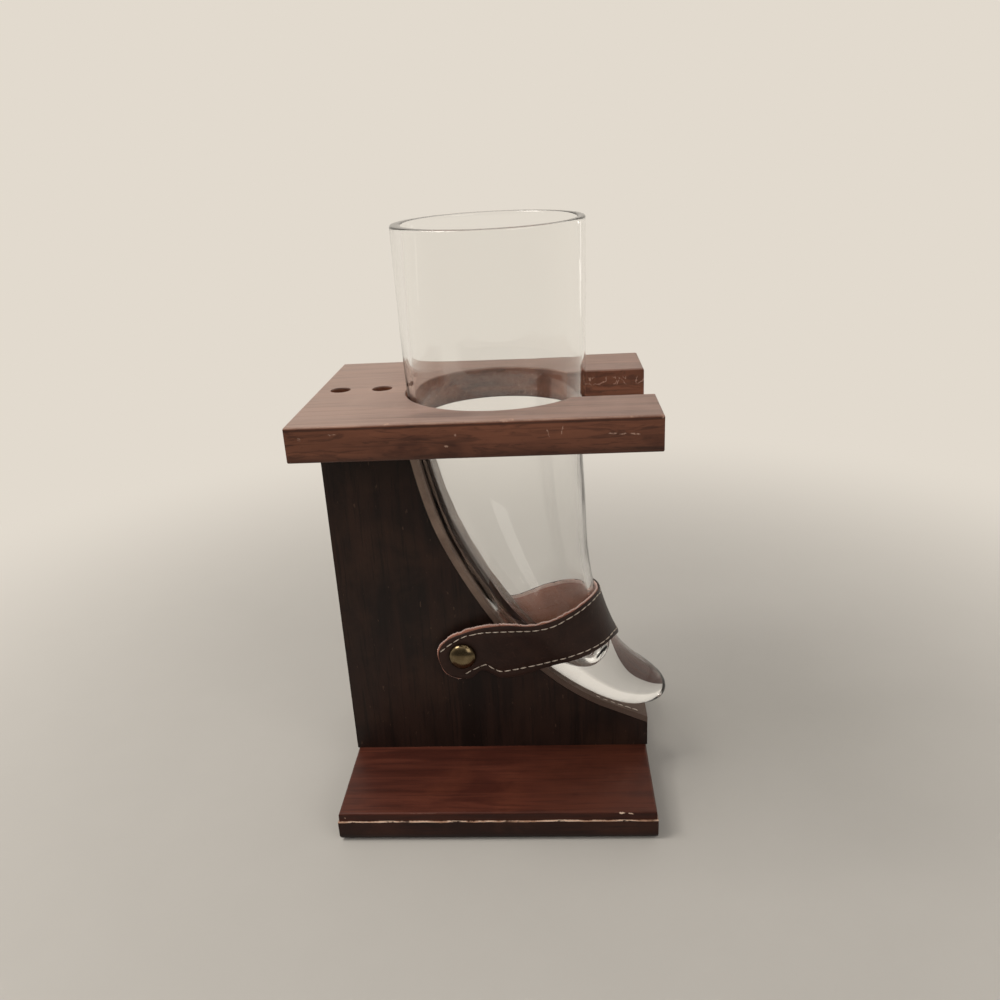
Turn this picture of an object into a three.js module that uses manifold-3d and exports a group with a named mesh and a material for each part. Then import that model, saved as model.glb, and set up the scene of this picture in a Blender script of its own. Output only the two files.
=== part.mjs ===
// Glass drinking horn in a wooden stand with a leather strap.
// Millimetres, +Z up. The origin is the middle of the base board's underside.
// The horn's own plane is y = 0, its tip points to +X, and the snap is on the -Y side.

import * as THREE from 'three';
import { mergeVertices } from 'three/addons/utils/BufferGeometryUtils.js';
import Module from 'manifold-3d';

const wasm = await Module();
wasm.setup();

// Stand boards

const boardThickness = 15;
const standWidth = 148;
const baseDepth = 115;
const plateFront = 55;
const plateBack = 58.5;
const edgeRound = 0.8;
const baseRound = 3;
const bandHeight = 4.5;
const bandSetback = 0.6;
const slotWidth = 46;
const ringClearance = 0.5;

// Glass horn: a straight upper body, then a bend that tightens towards the tip

const hornOffset = 6.7;
const hornProjection = 70;
const tipRise = 35.5;
const straightLength = 83;
const bendLength = 154.8;
const bendEntry = 56.7;
const bendEase = -85.3;
const bendTip = 91.2;
const mouthRadius = 40.6;
const upperRadius = 40.1;
const bodyRadius = 38.9;
const shoulderRadius = 37;
const waistRadius = 33.9;
const strapRadius = 27.6;
const throatRadius = 21.2;
const neckRadius = 15.7;
const noseRadius = 13;
const noseLength = 20.6;
const rimEdge = 0.9;
const rimRise = 0.5;
const rimSlope = 0.027;
const rimFade = 30;

// Glass wall at the same places, and how far the hollow is set off towards the horn's tip side

const mouthWall = 4;
const upperWall = 2.6;
const bodyWall = 2.5;
const shoulderWall = 2.9;
const waistWall = 4;
const strapWall = 5;
const throatWall = 6.2;
const endWall = 8.8;
const mouthShift = 0.6;
const bodyShift = 0.9;
const hollowShift = 1;
const endShift = 1.9;
const hollowEnd = 125;
const hollowNose = 10;

// Leather cradle between the glass and the upright

const cradleThickness = 3;
const seatGap = 0.3;

// Leather strap, two layers sewn together

const strapSlope = 14.5;
const strapStation = 191.5;
const outerLeather = 1;
const liningLeather = 0.7;
const layerGap = 0.3;
const liningOverhang = 0.6;
const strapSlack = 0.3;
const tabLength = 11.85;
const snapReach = 48.95;
const snapRise = 1.05;
const flatRun = 11;
const cornerEase = 6;
const notchDepth = 4.3;
const notchReach = 42;
const notchWidth = 8;
const endShare = 0.16;

// Width of the strap, and the height of its middle line in the strap's frame:
// at the far side, over the glass, at the flare before the snap, at the tab, and at the back

const farWidth = 26.4;
const glassWidth = 24.4;
const flareWidth = 29.6;
const tabWidth = 24.2;
const farRise = -1.3;
const turnRise = 1.95;
const glassRise = 1.2;
const flareRise = -1.3;
const tabRise = -0.45;
const backRise = -4.4;

// Distances round the strap from the horn's far side to those places

const turnRun = 18;
const glassRun = 36;
const flareRun = 65;
const tabRun = 85;
const backRun = 33;

// Snap fastener, its stud in the wood, and the dome nail at the back

const capRadius = 6.7;
const capHeight = 4.2;
const capRim = 0.8;
const postRadius = 1.6;
const postClearance = 0.3;
const socketRadius = 5.4;
const socketRecess = 3.7;
const socketFloor = 0.9;
const studFlange = 5;
const studFlangeHeight = 0.8;
const studRadius = 2;
const studHeight = 1.6;
const studClearance = 0.3;
const shankRadius = 1.5;
const shankLength = 6.2;
const pilotClearance = 0.2;

// Wood screws through the plate and the base into the upright

const screwHeadRadius = 4.1;
const screwHeadHeight = 2.6;
const screwRadius = 1.9;
const screwLength = 32;
const counterboreRadius = 4.6;
const counterboreDepth = 5.5;
const plateScrewInset = 10.4;
const plateScrewCover = 9;
const plateScrewOff = 3.1;
const baseScrewInset = 26;
const cutOverrun = 1;

// Sizes that follow from the ones above

const hornLength = straightLength + bendLength;
const halfBoard = boardThickness / 2;
const studStack = studFlangeHeight + studClearance + studHeight + socketFloor;
const frontFace = halfBoard + studStack + layerGap;
const rearFace = halfBoard + layerGap;

// Materials

function material(color, roughness, metalness) {
  return new THREE.MeshStandardMaterial({ color, roughness, metalness });
}

const stainedWood = material(0x4a2419, 0.5, 0);
const darkWood = material(0x2c1812, 0.6, 0);
const strapLeather = material(0x33201a, 0.55, 0);
const suede = material(0xb08277, 0.95, 0);
const cradleLeather = material(0x4b2d24, 0.7, 0);
const agedBrass = material(0x6b5f3f, 0.4, 0.9);
const steel = material(0x5c5148, 0.45, 0.9);
const glass = new THREE.MeshStandardMaterial({
  color: 0xe6ebe8,
  roughness: 0.03,
  metalness: 0,
  transparent: true,
  opacity: 0.35,
});

// Closed meshes with shared corners, and joins and cuts between them

function weld(geometry) {
  geometry.deleteAttribute('normal');
  geometry.deleteAttribute('uv');
  const merged = mergeVertices(geometry, 1e-4);
  const index = merged.getIndex().array;
  const kept = [];
  for (let i = 0; i < index.length; i += 3) {
    const [a, b, c] = [index[i], index[i + 1], index[i + 2]];
    if (a !== b && b !== c && c !== a) {
      kept.push(a, b, c);
    }
  }
  merged.setIndex(kept);
  return merged;
}

function toSolid(geometry) {
  const welded = weld(geometry.clone());
  return new wasm.Manifold(new wasm.Mesh({
    numProp: 3,
    vertProperties: new Float32Array(welded.getAttribute('position').array),
    triVerts: new Uint32Array(welded.getIndex().array),
  }));
}

function toGeometry(solid) {
  const mesh = solid.getMesh();
  const geometry = new THREE.BufferGeometry();
  geometry.setAttribute('position', new THREE.BufferAttribute(mesh.vertProperties, 3));
  geometry.setIndex(new THREE.BufferAttribute(mesh.triVerts, 1));
  return geometry;
}

function cut(geometry, tools) {
  let solid = toSolid(geometry);
  for (const tool of tools) {
    solid = solid.subtract(toSolid(tool));
  }
  return toGeometry(solid);
}

function lathe(profile, segments) {
  return new THREE.LatheGeometry(profile.map(([r, h]) => new THREE.Vector2(r, h)), segments);
}

function cylinder(radius, low, high, segments = 24) {
  return lathe([[0, low], [radius, low], [radius, high], [0, high]], segments);
}

// Horn centreline: lean from the vertical and position, by distance from the rim

function lean(s) {
  const t = Math.max(s - straightLength, 0) / bendLength;
  return THREE.MathUtils.degToRad(bendEntry * t + bendEase * t * t + bendTip * t * t * t);
}

const lineStep = 0.5;
const linePoints = [new THREE.Vector2()];
for (let s = 0; s < hornLength + noseLength; s += lineStep) {
  const middle = lean(s + lineStep / 2);
  const last = linePoints[linePoints.length - 1];
  const step = new THREE.Vector2(Math.sin(middle), -Math.cos(middle)).multiplyScalar(lineStep);
  linePoints.push(last.clone().add(step));
}

function fromRim(s) {
  const at = Math.max(s / lineStep, 0);
  const i = Math.min(Math.floor(at), linePoints.length - 2);
  return linePoints[i].clone().lerp(linePoints[i + 1], at - i);
}

// The horn's tip sets the stand's height: the rim, the plate and the upright follow from it

const rimHeight = boardThickness + tipRise - fromRim(hornLength).y;
const plateTop = rimHeight - hornProjection;
const uprightTop = plateTop - boardThickness;

function centre(s) {
  return fromRim(s).add(new THREE.Vector2(hornOffset, rimHeight));
}

// A smooth curve through stations of distance and size, read at any distance

function throughStations(stations) {
  const curve = new THREE.SplineCurve(stations.map(([s, r]) => new THREE.Vector2(s, r)));
  const fine = curve.getPoints(stations.length * 24);
  return (s) => {
    let i = 1;
    while (i < fine.length - 1 && fine[i].x < s) {
      i += 1;
    }
    const share = (s - fine[i - 1].x) / (fine[i].x - fine[i - 1].x);
    return THREE.MathUtils.lerp(fine[i - 1].y, fine[i].y, THREE.MathUtils.clamp(share, 0, 1));
  };
}

function along(share) {
  return straightLength + share * bendLength;
}

const outerRadius = throughStations([
  [0, mouthRadius],
  [straightLength / 2, upperRadius],
  [along(0), bodyRadius],
  [along(0.12), shoulderRadius],
  [along(0.3), waistRadius],
  [along(0.5), strapRadius],
  [along(0.7), throatRadius],
  [along(0.88), neckRadius],
  [along(1), noseRadius],
]);

const innerEnd = straightLength + hollowEnd;
const innerRadius = throughStations([
  [0, mouthRadius - mouthWall],
  [straightLength / 2, upperRadius - upperWall],
  [along(0), bodyRadius - bodyWall],
  [along(0.12), shoulderRadius - shoulderWall],
  [along(0.3), waistRadius - waistWall],
  [along(0.5), strapRadius - strapWall],
  [along(0.7), throatRadius - throatWall],
  [innerEnd, outerRadius(innerEnd) - endWall],
]);

const innerShift = throughStations([
  [0, mouthShift],
  [along(0), bodyShift],
  [along(0.5), hollowShift],
  [innerEnd, endShift],
  [innerEnd + hollowNose, endShift],
]);

// Round end of a profile: from its flank to the axis

function nose(start, length, radiusAt, steps) {
  const r = radiusAt(start);
  const slope = (radiusAt(start) - radiusAt(start - lineStep)) / lineStep;
  const pull = 0.5523;
  const curve = new THREE.CubicBezierCurve(
    new THREE.Vector2(r, start),
    new THREE.Vector2(r + slope * pull * length, start + pull * length),
    new THREE.Vector2(pull * r, start + length),
    new THREE.Vector2(0, start + length),
  );
  return curve.getPoints(steps).map((p) => [p.x, p.y]);
}

function flank(radiusAt, start, end, steps) {
  const points = [];
  for (let i = 0; i <= steps; i += 1) {
    const s = THREE.MathUtils.lerp(start, end, i / steps);
    points.push([radiusAt(s), s]);
  }
  return points;
}

// The horn is a revolved wall with a flat, slightly eased rim, bent along the centreline.
// The rim isn't quite square to the body: its back stands a little higher than its front.

function hornGeometry() {
  const outside = [
    ...flank(outerRadius, rimEdge, hornLength, 21),
    ...nose(hornLength, noseLength, outerRadius, 8).slice(1),
  ].reverse();
  const inside = [
    ...flank(innerRadius, rimEdge, innerEnd, 16),
    ...nose(innerEnd, hollowNose, innerRadius, 6).slice(1),
  ];
  const outerCorner = outside[outside.length - 1][0];
  const innerCorner = inside[0][0];
  for (const turn of [30, 60, 90].map(THREE.MathUtils.degToRad)) {
    const [across, down] = [rimEdge * (1 - Math.cos(turn)), rimEdge * (1 - Math.sin(turn))];
    outside.push([outerCorner - across, down]);
    inside.unshift([innerCorner + across, down]);
  }
  const profile = [...outside, ...inside];
  const geometry = lathe(profile, 40);
  const position = geometry.getAttribute('position');
  for (let i = 0; i < position.count; i += 1) {
    const s = position.getY(i);
    const hollow = i % profile.length >= outside.length;
    const off = position.getX(i) + (hollow ? innerShift(s) : 0);
    const side = lean(s);
    const c = centre(s);
    const y = position.getZ(i);
    const rise = (rimRise + rimSlope * y) * Math.max(0, 1 - s / rimFade) ** 2;
    position.setXYZ(i, c.x + off * Math.cos(side), y, c.y + off * Math.sin(side) + rise);
  }
  const welded = weld(geometry);
  return volume(welded) < 0 ? flip(welded) : welded;
}

function volume(geometry) {
  const p = geometry.getAttribute('position');
  const index = geometry.getIndex().array;
  const [a, b, c] = [new THREE.Vector3(), new THREE.Vector3(), new THREE.Vector3()];
  let sum = 0;
  for (let i = 0; i < index.length; i += 3) {
    a.fromBufferAttribute(p, index[i]);
    b.fromBufferAttribute(p, index[i + 1]);
    c.fromBufferAttribute(p, index[i + 2]);
    sum += a.dot(b.cross(c)) / 6;
  }
  return sum;
}

function flip(geometry) {
  const index = Array.from(geometry.getIndex().array);
  for (let i = 0; i < index.length; i += 3) {
    [index[i], index[i + 1]] = [index[i + 1], index[i]];
  }
  geometry.setIndex(index);
  return geometry;
}

// Point beside the horn in its own plane, on the outside of the bend

function beside(s, distance) {
  const reach = outerRadius(s) + distance;
  const side = lean(s);
  const c = centre(s);
  return new THREE.Vector2(c.x - reach * Math.cos(side), c.y - reach * Math.sin(side));
}

// Line that follows the horn at a distance, from under the plate to the stand's right end

function cradleLine(distance, top, steps = 30) {
  const points = [];
  const start = rimHeight - top;
  for (let i = 0; i <= steps; i += 1) {
    points.push(beside(THREE.MathUtils.lerp(start, hornLength, i / steps), distance));
  }
  const before = points[points.length - 2];
  const last = points[points.length - 1];
  const slope = (last.y - before.y) / (last.x - before.x);
  const right = standWidth / 2;
  points.push(new THREE.Vector2(right, last.y + slope * (right - last.x)));
  return points;
}

// Boards

function boardShape(width, depth) {
  const shape = new THREE.Shape();
  shape.moveTo(-width / 2, -depth / 2);
  shape.lineTo(width / 2, -depth / 2);
  shape.lineTo(width / 2, depth / 2);
  shape.lineTo(-width / 2, depth / 2);
  shape.closePath();
  return shape;
}

function rounded(shape, round, low, high, steps = 2) {
  const geometry = new THREE.ExtrudeGeometry(shape, {
    depth: high - low - 2 * round,
    bevelEnabled: true,
    bevelSize: round,
    bevelOffset: -round,
    bevelThickness: round,
    bevelSegments: steps,
    curveSegments: 44,
  });
  return geometry.translate(0, 0, low + round);
}

// Base board: rounded underneath, with a top band that is set back a little

function mouldedBoard(width, depth) {
  const bandLow = boardThickness - bandHeight;
  const lower = rounded(boardShape(width, depth), baseRound, 0, bandLow + baseRound, 4);
  const above = new THREE.BoxGeometry(2 * width, 2 * depth, 2 * baseRound);
  above.translate(0, 0, bandLow + baseRound);
  const inset = boardShape(width - 2 * bandSetback, depth - 2 * bandSetback);
  const band = rounded(inset, edgeRound, bandLow - 2 * edgeRound, boardThickness);
  return toGeometry(toSolid(cut(lower, [above])).add(toSolid(band)));
}

function screwHole(x, y, z, top) {
  const bore = lathe([
    [0, -screwLength - pilotClearance],
    [screwRadius + pilotClearance, -screwLength - pilotClearance],
    [screwRadius + pilotClearance, 0],
    [counterboreRadius, 0],
    [counterboreRadius, counterboreDepth + cutOverrun],
    [0, counterboreDepth + cutOverrun],
  ], 28);
  bore.rotateX(top ? Math.PI / 2 : -Math.PI / 2);
  return bore.translate(x, y, z);
}

const cradleBack = 2 * seatGap + cradleThickness;
const cradleTopX = beside(rimHeight - uprightTop, cradleBack).x;
const plateScrewX = [-standWidth / 2 + plateScrewInset, cradleTopX - plateScrewCover];
const baseScrewX = [-standWidth / 2 + baseScrewInset, standWidth / 2 - baseScrewInset];
const plateScrewZ = plateTop - counterboreDepth;
const baseScrewZ = counterboreDepth;

const baseHoles = baseScrewX.map((x) => screwHole(x, 0, baseScrewZ, false));
const baseGeometry = cut(mouldedBoard(standWidth, baseDepth), baseHoles);

// Ring for the horn, open to the right by the slot that its tip passes through

const hornInPlate = Math.max(outerRadius(hornProjection), outerRadius(hornProjection + boardThickness));
const ringRadius = hornInPlate + ringClearance;

function plateShape() {
  const right = standWidth / 2;
  const half = slotWidth / 2;
  const turn = Math.asin(half / ringRadius);
  const shape = new THREE.Shape();
  shape.moveTo(-right, -plateFront);
  shape.lineTo(right, -plateFront);
  shape.lineTo(right, -half);
  shape.lineTo(hornOffset + ringRadius * Math.cos(turn), -half);
  shape.absarc(hornOffset, 0, ringRadius, -turn, turn - 2 * Math.PI, true);
  shape.lineTo(right, half);
  shape.lineTo(right, plateBack);
  shape.lineTo(-right, plateBack);
  shape.closePath();
  return shape;
}

const plateBlank = rounded(plateShape(), edgeRound, uprightTop, plateTop);
const plateHoles = plateScrewX.map((x) => screwHole(x, plateScrewOff, plateScrewZ, true));
const plateGeometry = cut(plateBlank, plateHoles);

// Upright board, its right side hollowed to follow the horn and the cradle

function uprightShape() {
  const left = -standWidth / 2;
  const shape = new THREE.Shape();
  shape.moveTo(left, boardThickness);
  shape.lineTo(standWidth / 2, boardThickness);
  for (const p of cradleLine(cradleBack, uprightTop).reverse()) {
    shape.lineTo(p.x, p.y);
  }
  shape.lineTo(left, uprightTop);
  shape.closePath();
  return shape;
}

function throughBoard(shape, thickness) {
  const geometry = new THREE.ExtrudeGeometry(shape, { depth: thickness, bevelEnabled: false });
  return geometry.translate(0, 0, -thickness / 2).rotateX(Math.PI / 2);
}

function cradleShape() {
  const back = cradleLine(seatGap + cradleThickness, uprightTop - seatGap);
  const front = cradleLine(seatGap, uprightTop - seatGap).reverse();
  return new THREE.Shape([...back, ...front]);
}

// Strap frame: X along the strap's slope, Y across the stand, Z across the strap's width

const slopeAngle = THREE.MathUtils.degToRad(strapSlope);
const strapCentre = centre(strapStation);

function toStrap(x, z) {
  const [dx, dz] = [x - strapCentre.x, z - strapCentre.y];
  const [c, s] = [Math.cos(slopeAngle), Math.sin(slopeAngle)];
  return new THREE.Vector2(dx * c + dz * s, -dx * s + dz * c);
}

// Circle round the horn where it is cut at one level of the strap frame

function girth(level) {
  const cuts = [];
  for (let i = 0; i < 24; i += 1) {
    const turn = (2 * Math.PI * i) / 24;
    let [low, high] = [straightLength / 2, hornLength];
    for (let k = 0; k < 30; k += 1) {
      const s = (low + high) / 2;
      const off = outerRadius(s) * Math.cos(turn);
      const c = centre(s);
      const p = toStrap(c.x + off * Math.cos(lean(s)), c.y + off * Math.sin(lean(s)));
      if (p.y > level) {
        low = s;
      } else {
        high = s;
      }
    }
    const off = outerRadius(low) * Math.cos(turn);
    const c = centre(low);
    const p = toStrap(c.x + off * Math.cos(lean(low)), c.y + off * Math.sin(lean(low)));
    cuts.push(new THREE.Vector2(p.x, outerRadius(low) * Math.sin(turn)));
  }
  const middle = (Math.min(...cuts.map((p) => p.x)) + Math.max(...cuts.map((p) => p.x))) / 2;
  const radius = Math.max(...cuts.map((p) => Math.hypot(p.x - middle, p.y)));
  return { middle, radius };
}

// The leather bridges part of the horn's hollow flank: it lies between the horn's own girth
// and a straight cone from its lowest level to its highest

const [coneLow, coneHigh] = [-17, 15];
const bridgeShare = 0.15;
const girths = [coneLow, -12, -6, 0, 8, coneHigh].map((level) => ({ level, ...girth(level) }));
const middleAt = throughStations(girths.map((g) => [g.level, g.middle]));
const radiusAt = throughStations(girths.map((g) => [g.level, g.radius]));
const [lowest, highest] = [girths[0], girths[girths.length - 1]];

function wrapCircle(level) {
  const share = (level - coneLow) / (coneHigh - coneLow);
  const coneMiddle = THREE.MathUtils.lerp(lowest.middle, highest.middle, share);
  const coneRadius = THREE.MathUtils.lerp(lowest.radius, highest.radius, share);
  return {
    middle: THREE.MathUtils.lerp(middleAt(level), coneMiddle, bridgeShare),
    radius: THREE.MathUtils.lerp(radiusAt(level), coneRadius, bridgeShare) + strapSlack,
  };
}

// One side of the strap's path at a level: flat end, eased corner, tangent, then round the horn.
// Sides mirror in y = 0. The path runs from the end of the strap to the horn's far side.

const endReach = snapReach + tabLength;
const cornerReach = snapReach - flatRun;
const wrapColumns = 12;
const columnsPastBend = 9;

function sidePath(level, face) {
  const { middle, radius } = wrapCircle(level);
  const corner = new THREE.Vector2(-cornerReach, face);
  const toMiddle = new THREE.Vector2(middle, 0).sub(corner);
  const away = toMiddle.length();
  const swing = Math.asin(radius / away) + Math.atan2(toMiddle.y, toMiddle.x);
  const tangentLength = Math.sqrt(away * away - radius * radius);
  const direction = new THREE.Vector2(Math.cos(swing), Math.sin(swing));
  const tangent = corner.clone().addScaledVector(direction, tangentLength);
  const easeStart = new THREE.Vector2(-cornerReach - cornerEase, face);
  const easeEnd = corner.clone().addScaledVector(direction, cornerEase);
  const points = [];
  for (const share of [0, 0.04, 0.1, 0.18, 0.28, 0.4, 0.52, 0.64, 0.76, 0.88]) {
    points.push(new THREE.Vector2(THREE.MathUtils.lerp(-endReach, easeStart.x, share), face));
  }
  points.push(...new THREE.QuadraticBezierCurve(easeStart, corner, easeEnd).getPoints(6));
  points.push(easeEnd.clone().lerp(tangent, 0.33), easeEnd.clone().lerp(tangent, 0.67));
  const from = Math.atan2(tangent.y, tangent.x - middle);
  for (let i = 0; i <= wrapColumns; i += 1) {
    const turn = from * (1 - i / wrapColumns);
    points.push(new THREE.Vector2(middle + radius * Math.cos(turn), radius * Math.sin(turn)));
  }
  return points;
}

// Height of the strap's middle line and its width, by distance from the horn's far side

const endRun = tabRun + tabLength;
const frontRise = throughStations([
  [0, farRise],
  [turnRun / 2, THREE.MathUtils.lerp(farRise, turnRise, 0.75)],
  [turnRun, turnRise],
  [glassRun, glassRise],
  [(glassRun + flareRun) / 2, (glassRise + flareRise) / 2 + 0.6],
  [flareRun, flareRise],
  [tabRun, tabRise],
  [endRun, tabRise],
]);
const backHeight = throughStations([
  [0, farRise],
  [backRun / 3, farRise - 0.5],
  [backRun, backRise],
  [2 * backRun, backRise],
  [endRun, backRise],
]);
const widthAt = throughStations([
  [0, farWidth],
  [glassRun, glassWidth],
  [(glassRun + flareRun) / 2, (glassWidth + flareWidth) / 2 + 0.3],
  [flareRun, flareWidth],
  [tabRun, tabWidth],
  [endRun, tabWidth],
]);

// Distance of each point of a path from its last point

function runs(path) {
  const out = [0];
  for (let i = path.length - 1; i > 0; i -= 1) {
    out.unshift(out[0] + path[i].distanceTo(path[i - 1]));
  }
  return out;
}

// Edges of the strap above and below its middle line: round end, and a thumb notch by the snap

function edges(fromEnd, run, front) {
  const half = (front ? widthAt(run) : farWidth) / 2;
  const round = Math.min(fromEnd / (tabWidth / 2), 1);
  const edge = half * THREE.MathUtils.lerp(endShare, 1, Math.sqrt(1 - (1 - round) ** 2));
  const notchAt = endReach - notchReach;
  const inNotch = Math.max(0, 1 - Math.abs(fromEnd - notchAt) / notchWidth);
  const notch = front ? notchDepth * inNotch * inNotch * (3 - 2 * inNotch) : 0;
  return { up: edge, down: edge - notch };
}

// Direction away from the upright and the horn at one point of a side's path

function outwards(path, i) {
  if (i === path.length - 1) {
    return new THREE.Vector2(1, 0);
  }
  const run = path[i + 1].clone().sub(path[Math.max(i - 1, 0)]).normalize();
  return new THREE.Vector2(-run.y, run.x);
}

// A layer of the strap between two depths from its inner face

function strapLayer(from, to, overhang, side, columns) {
  const front = side < 0;
  const face = front ? frontFace : rearFace;
  const rows = 6;
  const middleLine = sidePath(0, face);
  const run = runs(middleLine);
  const shells = [from, to].map((depth) => {
    const grid = [];
    for (let r = 0; r <= rows; r += 1) {
      const line = [];
      for (let i = columns[0]; i <= columns[1]; i += 1) {
        const { up, down } = edges(middleLine[i].x + endReach, run[i], front);
        const across = THREE.MathUtils.lerp(-down - overhang, up + overhang, r / rows);
        const rise = front ? frontRise(run[i]) : backHeight(run[i]);
        const level = rise + across;
        const path = sidePath(level, face);
        const p = path[i].clone().addScaledVector(outwards(path, i), depth);
        line.push(new THREE.Vector3(p.x, side * p.y, level));
      }
      grid.push(line);
    }
    return grid;
  });
  return shells;
}

// Two grids of points, one over the other, closed round their edges

function slab([inner, outer]) {
  const rows = inner.length;
  const columns = inner[0].length;
  const positions = [...inner.flat(), ...outer.flat()].flatMap((p) => [p.x, p.y, p.z]);
  const index = [];
  const at = (layer, r, c) => layer * rows * columns + r * columns + c;
  const quad = (a, b, c, d) => index.push(a, b, c, a, c, d);
  const right = columns - 1;
  const top = rows - 1;
  for (let r = 0; r < rows - 1; r += 1) {
    for (let c = 0; c < columns - 1; c += 1) {
      quad(at(0, r, c), at(0, r, c + 1), at(0, r + 1, c + 1), at(0, r + 1, c));
      quad(at(1, r, c), at(1, r + 1, c), at(1, r + 1, c + 1), at(1, r, c + 1));
    }
    quad(at(0, r, 0), at(0, r + 1, 0), at(1, r + 1, 0), at(1, r, 0));
    quad(at(0, r, right), at(1, r, right), at(1, r + 1, right), at(0, r + 1, right));
  }
  for (let c = 0; c < columns - 1; c += 1) {
    quad(at(0, 0, c), at(1, 0, c), at(1, 0, c + 1), at(0, 0, c + 1));
    quad(at(0, top, c), at(0, top, c + 1), at(1, top, c + 1), at(1, top, c));
  }
  const geometry = new THREE.BufferGeometry();
  geometry.setAttribute('position', new THREE.Float32BufferAttribute(positions, 3));
  geometry.setIndex(index);
  return volume(geometry) < 0 ? flip(geometry) : geometry;
}

// The moving part of the strap runs from its tab round the horn's far side to the back.
// The fixed part runs from there to the nail in the back of the upright.

const lastColumn = sidePath(0, frontFace).length - 1;
const bendColumn = lastColumn - columnsPastBend;

function joinSides(front, rear) {
  return front.map((grid, k) => grid.map((line, r) => {
    const back = rear[k][r].slice(0, -1).reverse();
    return [...line, ...back];
  }));
}

function movingLayer(from, to, overhang) {
  const front = strapLayer(from, to, overhang, -1, [0, lastColumn]);
  const rear = strapLayer(from, to, overhang, 1, [bendColumn, lastColumn]);
  return joinSides(front, rear);
}

function fixedLayer(from, to, overhang) {
  const shells = strapLayer(from, to, overhang, 1, [0, bendColumn]);
  return shells.map((grid) => grid.map((line) => {
    const last = line[line.length - 1];
    const before = line[line.length - 2];
    const back = before.clone().sub(last).setLength(layerGap);
    return [...line.slice(0, -1), last.clone().add(back)];
  }));
}

const outerFrom = liningLeather + layerGap;
const strapThickness = outerFrom + outerLeather;

function snapLevel(side) {
  return side < 0 ? snapRise : backRise;
}

const movingLining = cut(slab(movingLayer(0, liningLeather, liningOverhang)), [sideHole(-1)]);
const movingOuter = cut(slab(movingLayer(outerFrom, strapThickness, 0)), [sideHole(-1)]);
const fixedLining = cut(slab(fixedLayer(0, liningLeather, liningOverhang)), [sideHole(1)]);
const fixedOuter = cut(slab(fixedLayer(outerFrom, strapThickness, 0)), [sideHole(1)]);

// Hole through the leather for the snap's post or the nail, on the front (-1) or back (1)

function sideHole(side) {
  const hole = cylinder(postRadius + postClearance, 0, frontFace + strapThickness + capHeight, 20);
  return outward(hole, side);
}

// Turns a revolved piece so that its axis points away from the upright's front or back face

function outward(geometry, side) {
  return geometry.rotateX(side < 0 ? Math.PI : 0).translate(-snapReach, 0, snapLevel(side));
}

// Fasteners, revolved about the axis that leaves the upright at right angles

function dome(base, stem, stemRadius) {
  const points = [[0, stem], [stemRadius, stem], [stemRadius, base]];
  points.push([capRadius - capRim, base], [capRadius, base + capRim / 2]);
  for (let i = 1; i <= 7; i += 1) {
    const turn = (Math.PI / 2) * (i / 7);
    points.push([capRadius * Math.cos(turn), base + capRim + (capHeight - capRim) * Math.sin(turn)]);
  }
  points[points.length - 1][0] = 0;
  return lathe(points, 28);
}

const socketBottom = halfBoard + studFlangeHeight + studClearance;
const socketTop = halfBoard + studStack;
const capBase = frontFace + strapThickness + layerGap;

const snapCap = outward(dome(capBase, socketTop + layerGap, postRadius), -1);

const snapSocket = outward(lathe([
  [0, socketTop - socketFloor],
  [socketRecess, socketTop - socketFloor],
  [socketRecess, socketBottom],
  [socketRadius, socketBottom],
  [socketRadius, socketTop],
  [0, socketTop],
], 32), -1);

const snapStud = outward(lathe([
  [0, halfBoard - shankLength],
  [shankRadius, halfBoard - shankLength + shankRadius],
  [shankRadius, halfBoard],
  [studFlange, halfBoard],
  [studFlange - 0.4, halfBoard + studFlangeHeight],
  [studRadius - 0.3, halfBoard + studFlangeHeight],
  [studRadius, halfBoard + studFlangeHeight + studHeight / 2],
  [studRadius - 0.4, halfBoard + studFlangeHeight + studHeight],
  [0, halfBoard + studFlangeHeight + studHeight],
], 28), -1);

const nailBase = rearFace + strapThickness + layerGap;
const rearNail = outward(dome(nailBase, halfBoard - shankLength, shankRadius), 1);

function shankHole(side) {
  const depth = shankLength + pilotClearance;
  const top = halfBoard + cutOverrun;
  return outward(cylinder(shankRadius + pilotClearance, halfBoard - depth, top, 20), side);
}

function screw() {
  return lathe([
    [0, -screwLength],
    [screwRadius * 0.5, -screwLength + screwRadius],
    [screwRadius, -screwLength + 3 * screwRadius],
    [screwRadius, 0],
    [screwHeadRadius, 0],
    [screwHeadRadius, screwHeadHeight * 0.4],
    [screwHeadRadius * 0.8, screwHeadHeight * 0.8],
    [screwHeadRadius * 0.35, screwHeadHeight],
    [0, screwHeadHeight],
  ], 24);
}

// Assembly

const group = new THREE.Group();
const strapGroup = new THREE.Group();
strapGroup.position.set(strapCentre.x, 0, strapCentre.y);
strapGroup.rotation.y = -slopeAngle;
strapGroup.updateMatrix();
group.add(strapGroup);

function add(name, geometry, look, parent = group) {
  const mesh = new THREE.Mesh(geometry, look);
  mesh.name = name;
  parent.add(mesh);
  return mesh;
}

const uprightHoles = [
  ...baseScrewX.map((x) => screwHole(x, 0, baseScrewZ, false)),
  ...plateScrewX.map((x) => screwHole(x, plateScrewOff, plateScrewZ, true)),
  ...[-1, 1].map((side) => shankHole(side).applyMatrix4(strapGroup.matrix)),
];

add('base_board', baseGeometry, stainedWood);
add('upright_board', cut(throughBoard(uprightShape(), boardThickness), uprightHoles), darkWood);
add('top_plate', plateGeometry, stainedWood);
add('cradle_leather', weld(throughBoard(cradleShape(), boardThickness)), cradleLeather);
add('glass_horn', hornGeometry(), glass);

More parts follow.
